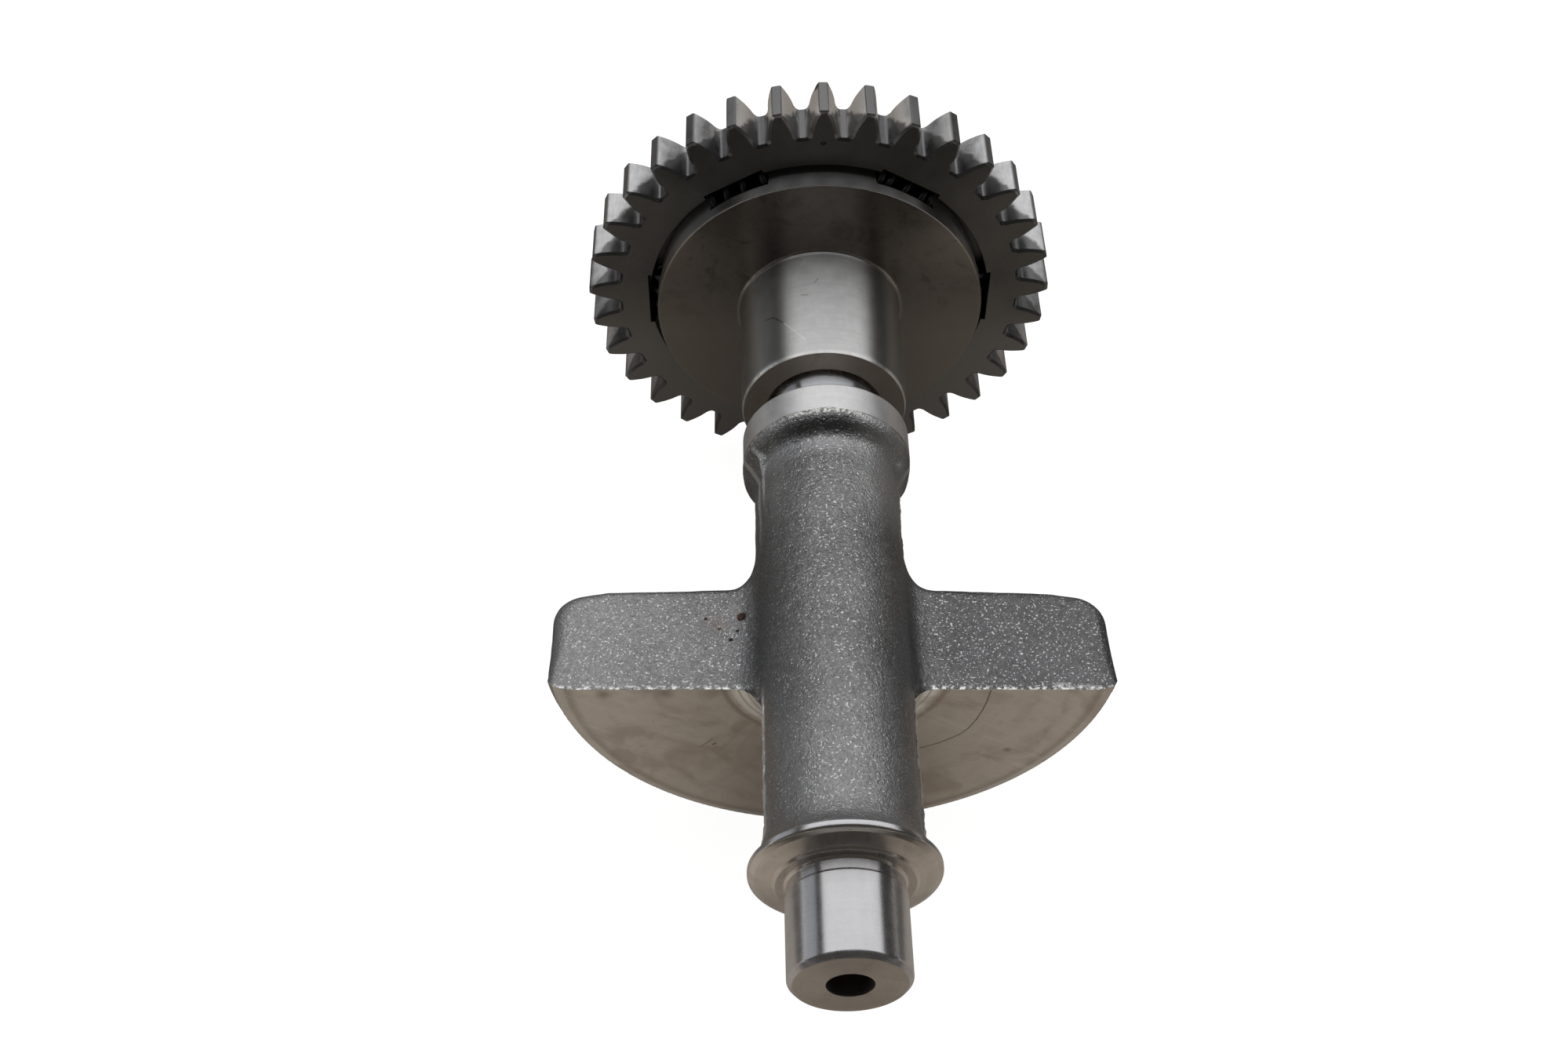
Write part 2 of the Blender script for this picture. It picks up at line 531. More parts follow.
def ground_steel(name, base, rough, line, aniso=0.75, marked=None):
    """Ground journals: fine lines round the axis, a few handling marks."""
    m = Mat(name)
    lines = m.noise1(m.y, 14.0, 3.0, 0.7)
    bands = m.noise1(m.y, 1.1, 2.0, 0.5)
    around = m.noise(0.9, 3.0, 0.55, vec=m.vec(m.x, m.math("MULTIPLY", m.y, 0.12), m.z))
    spots = m.noise(0.35, 4.0, 0.6)
    marks = m.noise(2.2, 4.0, 0.7, vec=m.vec(m.math("MULTIPLY", m.x, 0.3), m.y, m.math("MULTIPLY", m.z, 0.3)))
    tone = m.math("ADD", m.math("MULTIPLY", m.math("ADD", lines, around), 0.15), m.math("ADD", m.math("MULTIPLY", bands, 0.15), m.math("MULTIPLY", spots, 0.55)))
    col = m.ramp(tone, [(0.3, tuple(c * 0.82 for c in base)), (0.55, base), (0.75, tuple(min(1.0, c * 1.1) for c in base))])
    col = m.mix(m.span(marks, 0.66, 0.8, 0.0, 0.35, smooth=True), col, tuple(c * 0.45 for c in base))
    if marked:
        col = marked(m, col)
    nrm = m.bump(m.math("ADD", lines, m.math("MULTIPLY", spots, 0.2)), line, 0.015)
    ro = m.span(m.math("ADD", m.math("MULTIPLY", spots, 0.5), m.math("MULTIPLY", lines, 0.5)), 0.3, 0.7, rough * 0.85, rough * 1.2)
    return m.set(Base_Color=col, Metallic=1.0, Roughness=ro, Normal=nrm, Anisotropic=aniso, Tangent=m.across_rings())


def gear_face_steel():
    m = Mat("gear_face")
    fine = m.noise(5.0, 3.0, 0.6)
    broad = m.noise(0.12, 3.0, 0.55)
    col = m.ramp(m.math("ADD", m.math("MULTIPLY", fine, 0.4), m.math("MULTIPLY", broad, 0.6)),
                 [(0.3, (0.14, 0.138, 0.13)), (0.5, (0.19, 0.186, 0.175)), (0.7, (0.24, 0.235, 0.22))])
    col = m.mix(m.span(m.z, 22.0, 40.0, 0.0, 0.55, smooth=True), col, (0.07, 0.069, 0.065))
    col = m.mix(m.span(m.z, 8.0, -16.0, 0.0, 0.75, smooth=True), col, (0.44, 0.43, 0.41))
    nrm = m.bump(fine, 0.2, 0.015)
    return m.set(Base_Color=col, Metallic=1.0, Roughness=m.span(broad, 0.3, 0.7, 0.34, 0.44), Normal=nrm)


def gear_flank_steel():
    m = Mat("gear_flank")
    r = m.radius()
    fine = m.noise(2.4, 3.0, 0.6)
    lines = m.noise(3.0, 3.0, 0.65, vec=m.vec(m.x, m.math("MULTIPLY", m.y, 0.1), m.z))
    patch = m.noise(0.42, 3.0, 0.55)
    tone = m.math("ADD", m.math("MULTIPLY", lines, 0.3), m.math("ADD", m.math("MULTIPLY", patch, 0.55), m.math("MULTIPLY", fine, 0.15)))
    col = m.ramp(tone, [(0.3, (0.38, 0.38, 0.385)), (0.5, (0.53, 0.53, 0.537)), (0.7, (0.67, 0.67, 0.678))])
    # the upper teeth are the brightest
    col = m.mix(m.span(m.z, 38.0, 43.0, 0.0, 0.8, smooth=True), col, (0.92, 0.90, 0.87))
    col = m.mix(m.span(r, 47.2, 47.5, 0.0, 0.9), col, (0.115, 0.115, 0.117))
    # dark from the root up, further up at the front than at the back; the bottom of each gap stays paler
    u = m.math("DIVIDE", m.math("SUBTRACT", 47.6, r), 6.25)
    w = m.math("DIVIDE", m.math("SUBTRACT", 156.0, m.y), 9.5)
    q = m.math("ADD", m.math("ADD", u, w), m.math("MULTIPLY", m.math("SUBTRACT", patch, 0.5), 0.5))
    low = m.math("MULTIPLY", m.span(q, 0.98, 1.16, 0.0, 0.86, smooth=True), m.span(r, 41.42, 41.7, 0.35, 1.0))
    col = m.mix(low, col, (0.10, 0.099, 0.10))
    col = m.mix(m.span(r, 41.7, 41.42, 0.0, 0.85), col, (0.105, 0.105, 0.11))
    col = m.mix(m.span(r, 41.32, 41.2, 0.0, 0.8), col, (0.06, 0.06, 0.06))
    # nick in the rear corner of the top tooth
    col = m.mix(m.near((-2.3, 155.0, 47.0), 1.0, 0.5), col, (0.03, 0.028, 0.026))
    nrm = m.bump(m.math("ADD", lines, m.math("MULTIPLY", fine, 0.4)), 0.1, 0.015)
    return m.set(Base_Color=col, Metallic=1.0, Roughness=m.span(patch, 0.3, 0.7, 0.26, 0.36), Normal=nrm)


def wire_steel():
    m = Mat("spring_wire")
    fine = m.noise(3.0, 3.0, 0.6)
    col = m.ramp(fine, [(0.3, (0.03, 0.03, 0.032)), (0.5, (0.05, 0.05, 0.053)), (0.7, (0.085, 0.085, 0.088))])
    return m.set(Base_Color=col, Metallic=1.0, Roughness=m.span(fine, 0.3, 0.7, 0.28, 0.42), Normal=m.bump(fine, 0.2, 0.02))


def sheet_steel(name, base, rough):
    m = Mat(name)
    fine = m.noise(2.6, 3.0, 0.65)
    broad = m.noise(0.2, 3.0, 0.6)
    col = m.ramp(m.math("ADD", m.math("MULTIPLY", fine, 0.45), m.math("MULTIPLY", broad, 0.55)),
                 [(0.3, tuple(c * 0.7 for c in base)), (0.5, base), (0.7, tuple(c * 1.2 for c in base))])
    return m.set(Base_Color=col, Metallic=1.0, Roughness=m.span(broad, 0.3, 0.7, rough * 0.85, rough * 1.25), Normal=m.bump(fine, 0.25, 0.03))


FORGED = forged_steel()
FACE = turned_steel("turned_face", (0.60, 0.55, 0.495), (0.30, 0.255, 0.21), 0.30, 0.08, 0.35, marks=front_face_marks)
DISC = turned_steel("disc_face", (0.31, 0.282, 0.253), (0.13, 0.112, 0.094), 0.20, 0.05, 0.7, aniso=0.0, marks=disc_shade)
GROUND = ground_steel("ground_journal", (0.54, 0.533, 0.545), 0.27, 0.02, aniso=0.85)
COLLAR = ground_steel("ground_collar", (0.70, 0.70, 0.705), 0.44, 0.03, aniso=0.3)
FLANGE = turned_steel("flange_face", (0.62, 0.575, 0.525), (0.34, 0.29, 0.24), 0.20, 0.05, 0.35, aniso=0.5)
SLEEVE = ground_steel("ground_sleeve", (0.76, 0.76, 0.76), 0.43, 0.04, aniso=0.85, marked=sleeve_scratch)
NECK = ground_steel("turned_neck", (0.82, 0.84, 0.88), 0.30, 0.03, aniso=0.9)
NOSE = turned_steel("sleeve_end", (0.46, 0.421, 0.381), (0.24, 0.205, 0.17), 0.5, 0.05, 0.35, aniso=0.0)
RIM = ground_steel("hub_rim", (0.24, 0.236, 0.236), 0.42, 0.04, aniso=1.0)
BORE = turned_steel("drilled_bore", (0.26, 0.24, 0.22), (0.13, 0.115, 0.10), 0.4, 0.1, 0.4)
GFACE = gear_face_steel()
FLANK = gear_flank_steel()
WIRE = wire_steel()
PLATE = sheet_steel("plate_steel", (0.42, 0.42, 0.42), 0.34)
CLIP = sheet_steel("clip_steel", (0.12, 0.12, 0.125), 0.38)

# ---------------------------------------------------------------- the forging between flange and collar
FLAT = -4.4
H = 0.585
ROUGH_OUT = [(0, -60), (12.6, -60), (12.6, 50.5)] + [(13.2, 53.2), (15.0, 55.6), (19.0, 57.2), (44.0, 57.4), (51.5, 57.4), (51.5, 74.9)] \
    + arc(45.5, 74.9, 6.0, 0, 90, 10) + [(19.6, 81.8)] + arc(19.6, 88.8, 7.0, 270, 180, 12) + [(12.6, 200), (0, 200)]
TURNED_OUT = [(0, -60), (18.0, -60), (18.0, 33.0), (13.7, 37.0)] + [(19.6 - 6.5 * math.cos(t), 52.2 + 6.5 * math.sin(t)) for t in np.linspace(math.acos(5.9 / 6.5), math.pi / 2, 14)] \
    + [(47.8, 58.7), (50.1, 59.4), (51.7, 62.2), (60, 80), (60, 200), (0, 200)]
ROUGH_T = outline_table(ROUGH_OUT, 58, 15, 116, 0.2)
TURNED_T = outline_table(TURNED_OUT, 58, 15, 116, 0.2)
BAR = [(15.0, 15.2), (19.7, 15.3), (20.3, 15.36), (20.8, 15.12), (21.5, 14.6), (22.3, 14.1), (23.2, 13.65), (24.2, 13.37), (25.4, 13.07), (27.2, 12.95),
       (101.8, 12.95), (103.2, 13.12), (104.1, 13.55), (104.7, 14.1), (105.2, 14.8), (105.7, 15.3), (106.3, 15.68), (107.0, 15.88), (107.7, 15.98), (108.0, 15.93),
       (108.3, 15.75), (116.0, 15.6)]
BAR_S, BAR_R = [q[0] for q in BAR], [q[1] for q in BAR]
PITS = [(-16.36, 74.33, -4.4, 0.9, 0.35), (-20.5, 72.0, -4.4, 0.5, 0.25), (-17.2, 71.3, -4.4, 0.45, 0.2), (-18.4, 69.5, -4.4, 0.45, 0.2),
        (11.37, 105.6, 6.5, 0.6, 0.3), (-10.0, 97.84, 8.46, 0.6, 0.3), (-11.91, 91.63, 5.46, 0.6, 0.3)]


def forging(p, rough=True):
    """(unmachined surface, turned surface) as distances at points p in mm, negative inside."""
    x, s, z = p[:, 0], p[:, 1], p[:, 2]
    r = np.hypot(x, z)
    base = np.interp(s, BAR_S, BAR_R)
    slope = (np.interp(s + 0.3, BAR_S, BAR_R) - np.interp(s - 0.3, BAR_S, BAR_R)) / 0.6
    # lobes where the die halves meet beside the collar
    lobe = np.clip(13.2 + (s - 102.0) * 0.52, 0, 15.98)
    lip = np.where(x < 0, 4.6 + 2.0 * step01(s, 101.0, 104.5), 1.7 + 2.4 * step01(s, 102.5, 104.0))
    ear = step01(z - lip, 0.5, -0.4) * step01(z, -2.4, -0.8)
    base = base + np.maximum(0, lobe - base) * ear * step01(s, 99.5, 101) * step01(s, 109.0, 108.0)
    # trimmed flash along the parting line
    wob = np.sin(s * 0.9) * 0.18 + np.sin(s * 2.3 + 1.0) * 0.1
    run = step01(s, 22.8, 24.8) * step01(s, 58.5, 55.5) + 0.8 * step01(s, 82, 87) * step01(s, 103, 100)
    right = np.exp(-(((z - 0.6 - wob) / 0.62) ** 2)) * (x > 0) * 0.5
    left = np.exp(-(((z - 1.6 - wob) / 0.62) ** 2)) * (x < 0) * 0.36
    base = base + 0.3 * np.exp(-(((z - lip + 0.5) / 0.5) ** 2)) * (x < 0) * step01(s, 92.0, 99.0) * step01(s, 107.0, 106.0)
    base = base + run * (right + left) * (1.0 + 0.25 * np.sin(s * 3.1) * np.sin(s * 1.37 + 2.0))
    bar = (r - base) / np.sqrt(1 + slope * slope)
    disc = look(ROUGH_T, r, s)
    # half disc with rounded edges round its flat
    rad = 2.0 + 1.8 * step01(r, 40.0, 49.0) * step01(s, 58.5, 71.0)
    top = z - FLAT
    q = np.hypot(np.maximum(disc + rad, 0), np.maximum(top + rad, 0)) + np.minimum(np.maximum(disc, top), -rad)
    # wide blend between the barrel and the flat
    a, b = bar, q
    k = 0.6 + 6.9 * step01(s, 54.5, 58.5)
    h = np.clip(0.5 + 0.5 * (b - a) / k, 0, 1)
    f = b * (1 - h) + a * h - k * h * (1 - h)
    f = np.maximum(f, np.maximum(19.55 - s, s - 110.4))
    if rough:
        n = 0.085 * noise3(p, 7.0, 3) + 0.05 * noise3(p, 2.4, 5) + 0.04 * noise3(p, 1.25, 7)
        calm = step01(r, 51.8, 49.7) * 0.5 + 0.5
        f = f + n * calm + 0.05 * (1 - step01(r, 51.3, 48.5))
        for px, ps, pz, pr, pd in PITS:
            f = f + pd * np.exp(-(((x - px) ** 2 + (s - ps) ** 2 + (z - pz) ** 2) / (pr * pr)))
    f = np.maximum(f, np.abs(x) - 50.98)
    return f, look(TURNED_T, r, s)


def slope_of(fun, p, e=0.06):
    g = np.empty((len(p), 3))
    for k in range(3):
        d = np.zeros(3)
        d[k] = e
        g[:, k] = (fun(p + d) - fun(p - d)) / (2 * e)
    return g


def forging_mesh():
    lo = np.array([-52.6, 18.6, -52.7])
    hi = np.array([52.6, 111.4, 17.6])
    dim = np.ceil((hi - lo) / H).astype(int) + 1
    gx, gs, gz = [lo[k] + H * np.arange(dim[k]) for k in range(3)]
    field = np.empty(dim, np.float32)
    for i0 in range(0, dim[0], 30):
        xs = gx[i0:i0 + 30]
        p = np.stack(np.meshgrid(xs, gs, gz, indexing="ij"), -1).reshape(-1, 3)
        f, t = forging(p, rough=False)
        v = np.maximum(f, t)
        band = np.abs(v) < 1.3
        f2, t2 = forging(p[band])
        v[band] = np.maximum(f2, t2)
        field[i0:i0 + len(xs)] = v.reshape(len(xs), dim[1], dim[2])
    ins = field < 0
    count = np.zeros(dim - 1, np.int8)
    corners = [(a, b, c) for a in (0, 1) for b in (0, 1) for c in (0, 1)]
    for a, b, c in corners:
        count += ins[a:dim[0] - 1 + a, b:dim[1] - 1 + b, c:dim[2] - 1 + c]
    cell = np.argwhere((count > 0) & (count < 8))
    index = np.full(dim - 1, -1, np.int64)
    index[tuple(cell.T)] = np.arange(len(cell))
    acc, num = np.zeros((len(cell), 3)), np.zeros(len(cell))
    for a in corners:
        for k in range(3):
            if a[k]:
                continue
            b = list(a)
            b[k] = 1
            fa = field[cell[:, 0] + a[0], cell[:, 1] + a[1], cell[:, 2] + a[2]].astype(float)
            fb = field[cell[:, 0] + b[0], cell[:, 1] + b[1], cell[:, 2] + b[2]].astype(float)
            m = (fa < 0) != (fb < 0)
            t = fa[m] / (fa[m] - fb[m])
            q = np.tile(np.array(a, float), (m.sum(), 1))
            q[:, k] += t
            acc[m] += q
            num[m] += 1
    v = lo + H * (cell + acc / num[:, None])
    quads = []
    for k in range(3):
        o1, o2 = (k + 1) % 3, (k + 2) % 3
        a = [slice(1, -1)] * 3
        b = [slice(1, -1)] * 3
        a[k], b[k] = slice(0, -1), slice(1, None)
        sa, sb = ins[tuple(a)], ins[tuple(b)]
        g = np.argwhere(sa != sb)
        flip = sa[tuple(g.T)]
        g[:, o1] += 1
        g[:, o2] += 1
        ring = []
        for d1, d2 in ((-1, -1), (0, -1), (0, 0), (-1, 0)):
            h = g.copy()
            h[:, o1] += d1
            h[:, o2] += d2
            ring.append(index[tuple(h.T)])
        q = np.stack(ring, 1)
        q[~flip] = q[~flip][:, ::-1]
        quads.append(q)
    quads = np.concatenate(quads)
    top = lambda p: np.maximum(*forging(p))
    for _ in range(3):
        f = top(v)
        g = slope_of(top, v)
        v = v - np.clip(f / np.maximum((g * g).sum(1), 0.2), -0.3, 0.3)[:, None] * g
    # vertices beside the edge of the turned face move onto it
    f, t = forging(v)
    near = np.flatnonzero((np.abs(f) < 0.7) & (np.abs(t) < 0.7))
    fc, tc = forging((lo + H * (cell[near][:, None, :] + np.array(corners)[None])).reshape(-1, 3))
    fc, tc = fc.reshape(-1, 8), tc.reshape(-1, 8)
    near = near[(fc.min(1) < 0) & (fc.max(1) > 0) & (tc.min(1) < 0) & (tc.max(1) > 0)]
    home = lo + H * (cell[near] + 0.5)
    w = v[near]
    for _ in range(4):
        f, t = forging(w)
        gf, gt = slope_of(lambda p: forging(p)[0], w), slope_of(lambda p: forging(p)[1], w)
        a, b, c = (gf * gf).sum(1), (gf * gt).sum(1), (gt * gt).sum(1)
        det = np.maximum(a * c - b * b, 0.15 * a * c)
        la, lb = (c * f - b * t) / det, (a * t - b * f) / det
        w = w - np.clip(la, -0.25, 0.25)[:, None] * gf - np.clip(lb, -0.25, 0.25)[:, None] * gt
    v[near] = np.clip(w, home - 0.65 * H, home + 0.65 * H)
    f, t = forging(v)
    side = np.where(t > f, 1, -1)
    side[near] = 0
    mats = np.where(side[quads].sum(1) > 0, 1, 0)
    return v.tolist(), [tuple(q) for q in quads.tolist()], mats.tolist()


# ---------------------------------------------------------------- the whole shaft
# materials of the shaft: 0 forged, 1 turned faces, 2 ground, 3 bore, 4 neck
front = rounded([
    (0, 18.4, 0, 3), (3.85, 16.0, 0.1, 3), (3.85, 0.0, 0.12, 1), (9.2, 0.0, 0.4, 2), (10.0, 0.85, 0.7, 2), (10.0, 14.75, 0.12, 2),
    (9.65, 15.2, 0.15, 2), (9.65, 16.85, 0.25, 6), (10.1, 17.3, 0.15, 6), (11.5, 17.3, 0.25, 6), (12.0, 17.75, 0.3, 6), (14.9, 18.55, 0.7, 6),
    (15.95, 19.1, 0.55, 2), (15.95, 20.15, 0.3, 2), (15.2, 20.6, 0.1, 2), (13.6, 21.5, 0, 1), (0, 22.1, 0, 1)], 5)
rear = rounded([
    (0, 107.7, 0, 1), (15.6, 107.7, 0, 1), (16.0, 107.75, 0, 5), (16.0, 108.6, 0, 5), (16.0, 109.0, 0, 5), (16.0, 114.1, 0.35, 1), (8.6, 114.1, 0.3, 4), (8.6, 118.5, 0.5, 4), (9.87, 122.0, 0.06, 4),
    (9.98, 122.5, 0, 2), (9.98, 123.8, 0, 2),
    (9.98, 166.4, 0, 2), (10.0, 167.4, 0.2, 1), (9.0, 168.4, 0.2, 1), (0, 168.4, 0, 1)], 4)
SHAFT_MATS = [FORGED, FACE, GROUND, BORE, NECK, COLLAR, FLANGE]
v, f, m = forging_mesh()
shaft = mesh_from("shaft_body", v, f, SHAFT_MATS, m, sharp=36.0)
for turned in (front, rear):
    v, f, m = lathe(turned, 200)
    cut(shaft, mesh_from("turned_end", v, f, SHAFT_MATS, m), 36.0, "UNION")
# the line where rough and turned metal meet is an edge
me = shaft.data
of_face = np.zeros(len(me.polygons), np.int32)
me.polygons.foreach_get("material_index", of_face)
turns, corner_edge = np.zeros(len(me.polygons), np.int32), np.zeros(len(me.loops), np.int32)
me.polygons.foreach_get("loop_total", turns)
me.loops.foreach_get("edge_index", corner_edge)
rough_side = np.repeat(of_face == 0, turns)
hard = np.zeros(len(me.edges), bool)
me.edges.foreach_get("use_edge_sharp", hard)
hard |= (np.bincount(corner_edge[rough_side], minlength=len(hard)) > 0) & (np.bincount(corner_edge[~rough_side], minlength=len(hard)) > 0)
me.edges.foreach_set("use_edge_sharp", hard)
me.update()
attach(shaft, "shaft")
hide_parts("balance_shaft")

# ---------------------------------------------------------------- hub
POCKETS = [28.8 + 60 * i for i in range(6)]
hub_profile = rounded([
    (10.0, 144.0, 0, 1), (10.0, 123.7, 0.1, 1), (11.5, 122.2, 0.1, 3), (15.9, 122.2, 0.15, 0), (16.3, 123.45, 0.3, 0), (16.3, 150.4, 0.75, 1),
    (33.4, 150.4, 0.3, 2), (33.4, 153.45, 0.1, 2), (33.1, 153.45, 0.08, 2), (33.1, 158.0, 0.25, 1), (22.0, 158.0, 0.15, 1),
    (22.0, 163.4, 0.05, 1), (20.75, 163.4, 0.05, 1), (20.75, 165.0, 0.05, 1), (22.0, 165.0, 0.05, 1), (22.0, 166.6, 0.55, 1), (10.05, 166.6, 0.15, 1), (10.0, 144.0, 0, 1)], 4)
v, f, m = lathe(hub_profile[:-1] + [hub_profile[0]], 256)
n = 256
last = len(hub_profile) - 1
# the profile is a closed loop, so its last ring is its first
v = v[:last * n]
f = [tuple(i % (last * n) if i >= last * n else i for i in q) for q in f]
hub = mesh_from("hub_body", v, f, [SLEEVE, DISC, RIM, NOSE], m, sharp=30.0)
v, f, m = joined(*[box_shell(a, 6.6, 27.0, 40.0, 152.85, 159.0, 1) for a in POCKETS])
tool = mesh_from("hub_tool", v, f, [SLEEVE, DISC, RIM, NOSE], m)
cut(hub, tool, 30.0)
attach(hub, "shaft")
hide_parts("gear_hub")

# ---------------------------------------------------------------- ring gear
TEETH, TIP, ROOT, PITCH, BASE_R, HALF, PHASE = 33, 47.6, 41.35, 44.88, 42.17, 2.577, -1.2


def inv(r):
    a = math.acos(min(1.0, BASE_R / r))
    return math.degrees(math.tan(a) - a)


def tooth_outline(d):
    """One tooth from the middle of a root to the middle of the next, d mm inside its full shape, rows (radius, degrees)."""
    half = lambda r: HALF + inv(PITCH) - inv(max(r, BASE_R)) - math.degrees(1.06 * d / r)
    tip, root = TIP - d, ROOT - d
    step = 360.0 / TEETH
    side = []
    # root arc, wide root fillet, flank, rounded tip
    fil = 1.25
    foot = half(root + fil) + 0.02
    ang_fil = math.degrees(1.05 / ROOT)
    for k in range(9):
        t = math.radians(90.0 * k / 8)
        up = 1.0 - math.cos(t)
        side.append((root + fil * up, -(foot + ang_fil) + ang_fil * (0.65 * math.sin(t) + 0.35 * up)))
    for r in np.linspace(root + fil + 0.25, tip - 0.3, 9):
        side.append((float(r), -half(float(r))))
    ha = half(tip)
    tip_r = 0.14
    ta = math.degrees(tip_r / TIP)
    for k in range(1, 4):
        t = math.radians(90.0 * k / 3)
        side.append((tip - tip_r + tip_r * math.sin(t), -(ha - ta + ta * math.cos(t))))
    side.append((tip, -(ha - ta) * 0.8))
    low = [(root, -step / 2 + (step / 2 - foot - ang_fil) * q) for q in (0.0, 0.5)]
    right = [(r, -a) for r, a in reversed(side)] + [(root, step / 2 - (step / 2 - foot - ang_fil) * 0.5)]
    return low + side + [(tip, 0.0)] + right


def gear_outline(d):
    pts = []
    for i in range(TEETH):
        for r, a in tooth_outline(d):
            t = math.radians(PHASE + a + i * 360.0 / TEETH)
            pts.append((r * math.sin(t), r * math.cos(t)))
    return np.array(pts)


outline = gear_outline(0.0)
S0, S1, CH, CF = 154.5, 164.0, 0.34, 0.5
layers = [(S0, gear_outline(CF)), (S0 + 0.26, gear_outline(CF * 0.45)), (S0 + CF, outline), (S0 + 3.4, outline), (S1 - 3.4, outline),
          (S1 - CH, outline), (S1 - 0.17, gear_outline(CH * 0.45)), (S1, gear_outline(CH))]
n = len(outline)
v, f, m = [], [], []
for s, o in layers:
    v += [(x, s, z) for x, z in o]
for k in range(len(layers) - 1):
    for i in range(n):
        j = (i + 1) % n
        f.append((k * n + i, k * n + j, (k + 1) * n + j, (k + 1) * n + i))
        m.append(1)
f.append(tuple(range(n)))
m.append(0)
f.append(tuple(range((len(layers) - 1) * n, len(layers) * n)))
m.append(0)
ring = mesh_from("gear_rim", v, f, [GFACE, FLANK], m, sharp=20.0)
bore = rounded([(0, 150.0, 0, 0), (35.05, 150.0, 0, 0), (35.05, 154.4, 0, 0), (35.0, 154.55, 0, 0), (34.85, 154.72, 0.05, 0), (34.85, 158.1, 0.3, 0), (22.35, 158.1, 0.05, 0), (22.05, 158.4, 0, 0),
                (22.05, 161.3, 0, 0), (22.35, 161.6, 0.05, 0), (37.3, 161.6, 0.5, 0), (37.3, 163.7, 0, 0), (37.6, 164.1, 0, 0), (37.6, 168, 0, 0), (0, 168, 0, 0)], 4)
v, f, m = lathe(bore, 256)
cut(ring, mesh_from("bore_tool", v, f, [GFACE, FLANK], m), 20.0)
v, f, m = joined(*[box_shell(a, 6.6, 27.0, 35.25, 150.0, 163.0, 0) for a in POCKETS])
cut(ring, mesh_from("window_tool", v, f, [GFACE, FLANK], m), 20.0)
# punch mark beside the teeth
pa = math.radians(PHASE)
pv, pf, pm = lathe([(0, 155.05, 0), (0.3, 154.95, 0), (0.62, 154.5, 0), (0.68, 154.2, 0), (0, 154.2, 0)], 24)
pv = [(x + 40.1 * math.sin(pa), s, z + 40.1 * math.cos(pa)) for x, s, z in pv]
cut(ring, mesh_from("punch_tool", pv, pf, [GFACE, FLANK], pm), 20.0)
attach(ring, "gear")
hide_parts("ring_gear")

# ---------------------------------------------------------------- springs
PHASES = [0.67, 0.2, 0.45, 0.8, 0.1, 0.0]


def coil(angle, phase):
    a = math.radians(angle)
    out, tan = np.array([math.sin(a), 0, math.cos(a)]), np.array([math.cos(a), 0, -math.sin(a)])
    axis_y = np.array([0.0, -1.0, 0.0])
    mid = out * 31.125 + np.array([0, 157.25, 0])
    rad, wire, half = 3.0, 0.75, 5.72
    start = 0.35 * math.pi - phase * 2 * math.pi
    t = np.linspace(-0.8, 3.8, 185)
    rise = np.clip(t / 3.0, 0, 1)
    soft = np.where(rise < 0.06, rise * rise / 0.12, np.where(rise > 0.94, 1 - (1 - rise) ** 2 / 0.12, (rise - 0.03)))
    soft = np.clip(soft / soft.max(), 0, 1)
    ax = -half + 2 * half * soft
    psi = start + t * 2 * math.pi
    c = mid + np.outer(ax, tan) + rad * (np.outer(np.cos(psi), axis_y) + np.outer(np.sin(psi), out))
    d = np.gradient(c, axis=0)
    d /= np.linalg.norm(d, axis=1)[:, None]
    u = np.outer(np.cos(psi), axis_y) + np.outer(np.sin(psi), out)
    w = np.cross(d, u)
    verts, faces, k = [], [], 12
    for i in range(len(c)):
        for q in range(k):
            g = 2 * math.pi * q / k
            verts.append(tuple(c[i] + wire * (math.cos(g) * u[i] + math.sin(g) * w[i])))
    for i in range(len(c) - 1):
        for q in range(k):
            r = (q + 1) % k
            faces.append((i * k + q, i * k + r, (i + 1) * k + r, (i + 1) * k + q))
    faces.append(tuple(range(k)))
    faces.append(tuple(range((len(c) - 1) * k, len(c) * k)))
    return verts, faces, mid, tan


for i, (a, ph) in enumerate(zip(POCKETS, PHASES)):
    v, f, mid, tan = coil(a, ph)
    sp = mesh_from("spring_%d" % (i + 1), v, f, [WIRE], sharp=50.0)
    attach(sp, "shaft")
    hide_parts("damper_spring_%d" % (i + 1))
    tuple(row([mid])[0])
    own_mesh(sp)

# ---------------------------------------------------------------- plate and retaining ring behind the gear
plate_profile = rounded([(22.0, 161.75, 0.2, 0), (36.5, 161.75, 0.2, 0), (36.5, 163.35, 0.3, 0), (22.0, 163.35, 0.2, 0), (22.0, 162.5, 0, 0)], 3)
plate_profile = [(22.02, 162.5, 0)] + [(max(r, 22.02), s, k) for r, s, k in plate_profile[:-1]]
v, f, m = lathe(plate_profile + [plate_profile[0]], 192)
n, last = 192, len(plate_profile)
v = v[:last * n]
f = [tuple(i - last * n if i >= last * n else i for i in q) for q in f]
plate = mesh_from("plate_body", v, f, [PLATE], m, sharp=40.0)
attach(plate, "shaft")
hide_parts("retaining_plate")
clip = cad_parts["retaining_ring"]
clip.data.materials.clear()
clip.data.materials.append(CLIP)

# ---------------------------------------------------------------- floor, card, light, camera
LEAN = math.atan2(51.6 - 47.6, 164.0 - 75.0)


def sheet(name, size, lift):
    me = bpy.data.meshes.new(name)
    k = size / 2
    me.from_pydata([(-k, -k, 0), (k, -k, 0), (k, k, 0), (-k, k, 0)], [], [(0, 1, 2, 3)])
    ob = link(bpy.data.objects.new(name, me))
    ob.location = (0, (75.0 - FRONT) / 1000, (-51.63 + lift) / 1000)
    ob.rotation_euler = (LEAN, 0, 0)
    return ob


